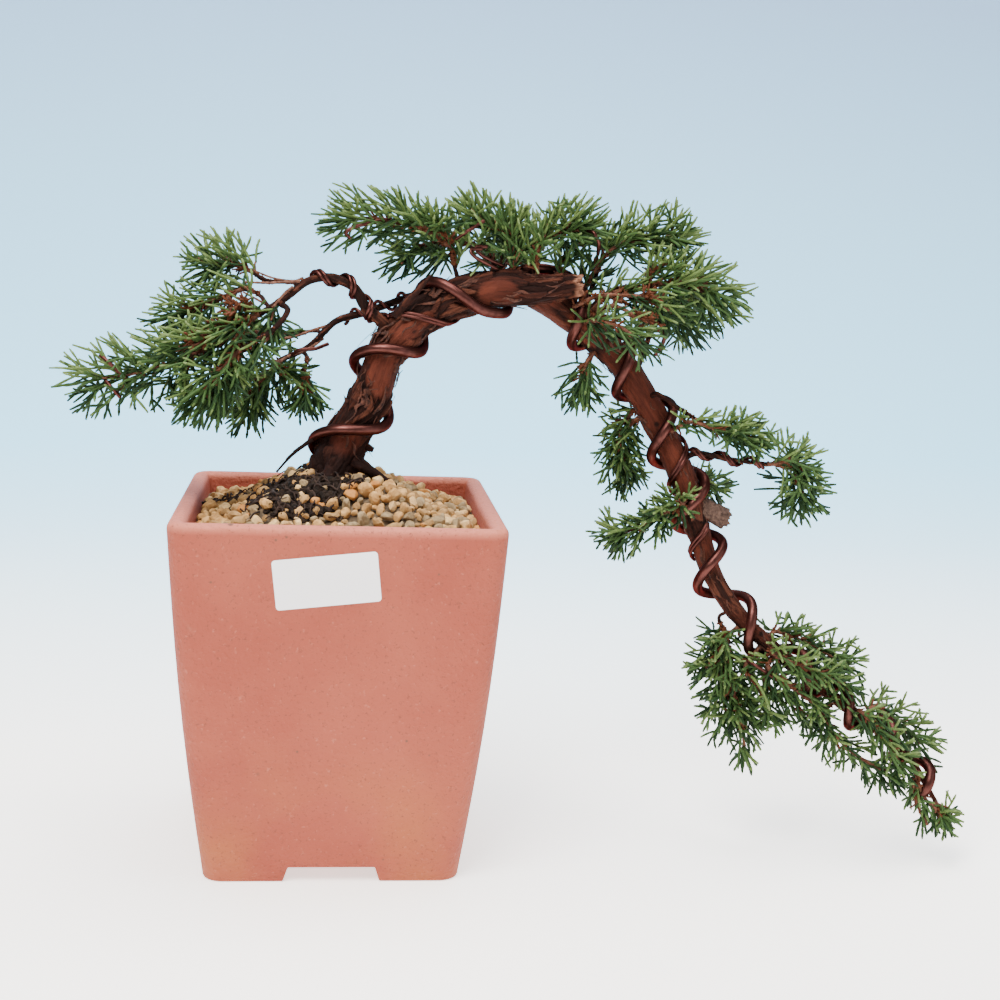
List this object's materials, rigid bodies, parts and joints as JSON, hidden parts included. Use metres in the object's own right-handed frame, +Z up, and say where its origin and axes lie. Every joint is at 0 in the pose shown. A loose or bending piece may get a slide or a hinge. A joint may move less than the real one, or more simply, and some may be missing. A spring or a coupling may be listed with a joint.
{
  "type": "juniper bonsai trained as a cascade, in a tall square pot",
  "caption": "Wired juniper bonsai whose trunk arches over and cascades down beside a tall square tapered clay pot filled with gravel.",
  "frame": {"origin": "middle of the base of the bounding box, on the level that the pot's feet stand on", "axes": "+Z up, +X from the pot towards the tip of the cascade, -Y towards the tree's front"},
  "size_m": [0.4392, 0.1502, 0.3204],
  "materials": {
    "terracotta": "matte",
    "gravel": "matte",
    "bark": "matte",
    "sawn_wood": "matte",
    "wire": "satin",
    "foliage": "matte"
  },
  "bodies": {
    "root": {"pot": "terracotta", "substrate": "gravel", "trunk_base": "bark", "trunk_arch": "bark", "cascade_upper": "bark", "cascade_middle": "bark", "cascade_lower": "bark", "side_stub": "sawn_wood", "bough_left": "bark", "bough_left_upper": "bark", "bough_left_middle": "bark", "bough_left_lower": "bark", "bough_behind": "bark", "bough_behind_strand": "bark", "bough_inner": "bark", "bough_crown_left": "bark", "bough_crown_middle": "bark", "bough_crown_right": "bark", "bough_shoulder": "bark", "bough_shoulder_high": "bark", "bough_shoulder_back": "bark", "bough_wired": "bark", "bough_outer": "bark", "bough_drop": "bark", "wire_rise": "wire", "wire_arch": "wire", "wire_fall": "wire", "wire_tail": "wire", "thin_wire_left": "wire", "thin_wire_outer": "wire", "foliage_left_tip": "foliage", "foliage_left_upper": "foliage", "foliage_left_middle": "foliage", "foliage_left_lower": "foliage", "foliage_left_under": "foliage", "foliage_left_inner": "foliage", "foliage_left_back": "foliage", "foliage_crown_left": "foliage", "foliage_crown_middle": "foliage", "foliage_crown_centre": "foliage", "foliage_crown_right": "foliage", "foliage_crown_back": "foliage", "foliage_shoulder_high": "foliage", "foliage_shoulder_right": "foliage", "foliage_shoulder_back": "foliage", "foliage_shoulder_front": "foliage", "foliage_arch_under": "foliage", "foliage_fall_inner": "foliage", "foliage_fall_front": "foliage", "foliage_fall_outer": "foliage", "foliage_fall_hanging": "foliage", "foliage_fall_sprig": "foliage", "foliage_tail_hanging": "foliage", "foliage_tail_upper": "foliage", "foliage_tail_back": "foliage", "foliage_tail_lower": "foliage", "foliage_tail_under": "foliage", "foliage_tail_tip": "foliage"}
  },
  "joints": []
}
